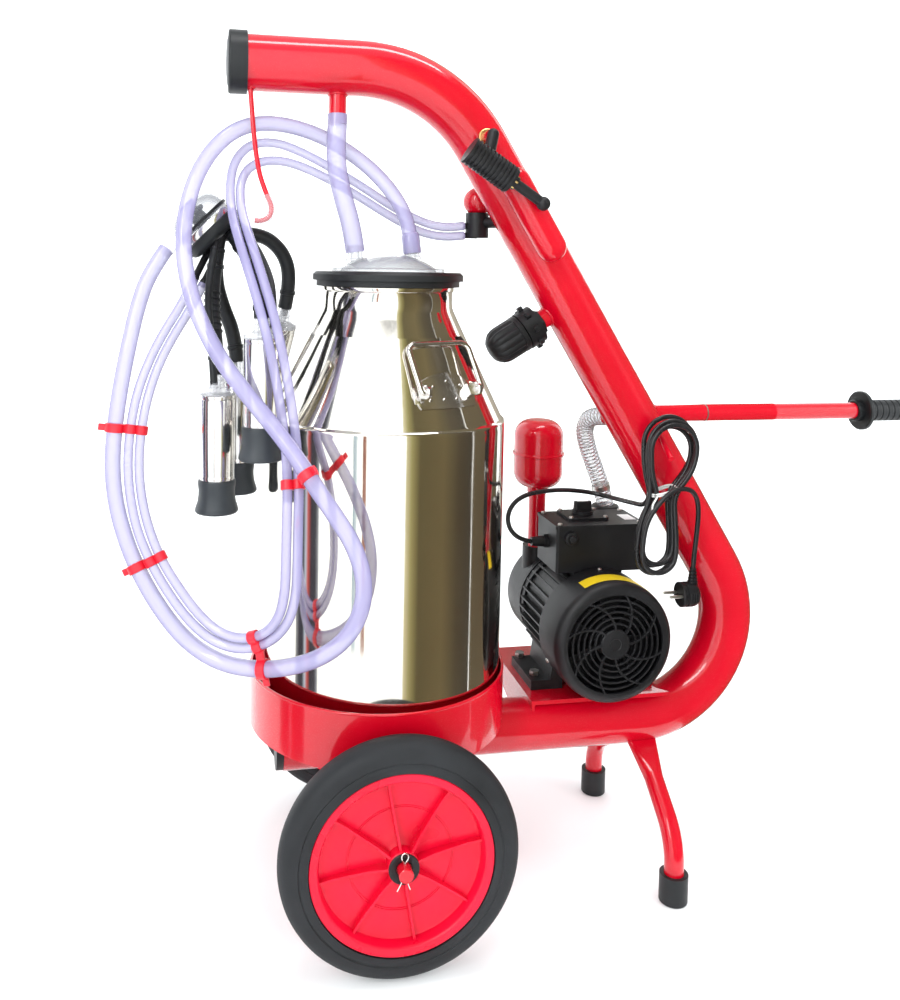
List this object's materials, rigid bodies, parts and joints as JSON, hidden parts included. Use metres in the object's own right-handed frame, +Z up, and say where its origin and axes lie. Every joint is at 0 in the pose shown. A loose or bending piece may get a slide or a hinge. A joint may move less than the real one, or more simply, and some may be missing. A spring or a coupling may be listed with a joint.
{
  "type": "mobile milking machine",
  "caption": "Mobile bucket milking machine: bent tube frame, steel milk bucket, motor with vane vacuum pump, claw with teat cups, hoses, wheels and a push handle.",
  "frame": {"origin": "on the floor, under the middle of the machine without its hoses and cord", "axes": "+X towards the push handle, -Y towards the side with the regulator and the cord peg, +Z up"},
  "size_m": [1.2595, 0.5108, 1.182],
  "materials": {
    "red_paint": "glossy",
    "red_plastic": "glossy",
    "tyre_rubber": "matte",
    "black_rubber": "satin",
    "zinc_steel": "satin",
    "handle_steel": "worn glossy",
    "polished_steel": "mirror",
    "cast_aluminium": "satin",
    "laminated_iron": "matte",
    "black_plastic": "satin",
    "button_plastic": "glossy",
    "pump_iron": "satin",
    "clear_plastic": "clear",
    "clear_pvc": "clear",
    "cord_jacket": "satin"
  },
  "bodies": {
    "frame": {"main_frame": "red_paint", "tube_end_caps": "black_rubber", "cup_hook": "red_paint", "bucket_tray": "red_paint", "axle": "red_paint", "wheel_retainers": "zinc_steel", "legs": "red_paint", "foot_caps": "black_rubber", "frame_bolts": "zinc_steel", "motor_plate": "red_paint", "motor_frame": "cast_aluminium", "end_shields": "cast_aluminium", "bearings": "zinc_steel", "stator_core": "laminated_iron", "fan_cover": "black_plastic", "terminal_box": "black_plastic", "terminal_lid": "black_plastic", "cable_gland": "black_plastic", "pump_housing": "pump_iron", "suction_port": "pump_iron", "exhaust_silencer": "red_paint", "suction_hose": "clear_pvc", "regulator_body": "black_plastic", "trap_collar": "black_plastic", "pulsator_body": "black_plastic", "pulsator_cap": "red_paint", "bucket_shell": "polished_steel", "lid_dome": "clear_plastic", "lid_gasket": "black_rubber", "claw_bowl": "polished_steel", "claw_cover": "black_plastic", "cup_shells": "polished_steel", "cup_liners": "black_rubber", "cup_adaptors": "clear_plastic", "short_milk_tubes": "black_rubber", "short_pulse_tubes": "black_rubber", "milk_hose": "clear_pvc", "vacuum_hose": "clear_pvc", "pulse_tube_a": "clear_pvc", "pulse_tube_b": "clear_pvc", "hose_clips": "red_plastic", "cord_lead": "cord_jacket", "cord_hank": "cord_jacket", "cord_tail": "cord_jacket", "plug": "black_plastic"},
    "wheel_near": {"rim_near": "red_plastic", "tyre_near": "tyre_rubber"},
    "wheel_far": {"rim_far": "red_plastic", "tyre_far": "tyre_rubber"},
    "rotor": {"motor_rotor": "zinc_steel", "cooling_fan": "black_plastic", "pump_rotor": "zinc_steel"},
    "knob": {"switch_knob": "black_plastic"},
    "button": {"reset_button": "button_plastic"},
    "bail_near_body": {"bail_near": "polished_steel"},
    "bail_far_body": {"bail_far": "polished_steel"},
    "stem": {"regulator_stem": "black_plastic"},
    "bowl": {"trap_bowl": "black_plastic"},
    "handle": {"handle_bar": "handle_steel", "handle_grip": "black_rubber"}
  },
  "joints": [
    {"name": "wheel_near_spin", "type": "hinge", "parent": "frame", "child": "wheel_near", "pos_m": [-0.299, -0.213, 0.15], "axis": [0, 1, 0], "continuous": true},
    {"name": "wheel_far_spin", "type": "hinge", "parent": "frame", "child": "wheel_far", "pos_m": [-0.299, 0.213, 0.15], "axis": [0, 1, 0], "continuous": true},
    {"name": "rotor_spin", "type": "hinge", "parent": "frame", "child": "rotor", "pos_m": [0.041, 0.06, 0.336], "axis": [0, 1, 0], "continuous": true},
    {"name": "switch_turn", "type": "hinge", "parent": "frame", "child": "knob", "pos_m": [0.038, 0.062, 0.493], "axis": [0, 0, -1], "range_deg": [0, 90]},
    {"name": "reset_push", "type": "slide", "parent": "frame", "child": "button", "axis": [0, 1, 0], "range_m": [0, 0.003], "stiffness_N_per_m": 300},
    {"name": "bail_near_swing", "type": "hinge", "parent": "frame", "child": "bail_near_body", "pos_m": [-0.22399, -0.13703, 0.712], "axis": [0.9135, 0.4067, 0], "range_deg": [0, 175]},
    {"name": "bail_far_swing", "type": "hinge", "parent": "frame", "child": "bail_far_body", "pos_m": [-0.34601, 0.13703, 0.712], "axis": [-0.9135, -0.4067, 0], "range_deg": [0, 175]},
    {"name": "regulator_turn", "type": "hinge", "parent": "frame", "child": "stem", "pos_m": [-0.136, -0.09, 0.985], "axis": [0.8384, 0, -0.545], "range_deg": [-180, 180]},
    {"name": "trap_turn", "type": "hinge", "parent": "frame", "child": "bowl", "pos_m": [-0.0952, 0, 0.77343], "axis": [-0.8518, 0, -0.5239], "range_deg": [0, 90]},
    {"name": "handle_pull", "type": "slide", "parent": "frame", "child": "handle", "axis": [1, 0, 0], "range_m": [0, 0.08]}
  ]
}
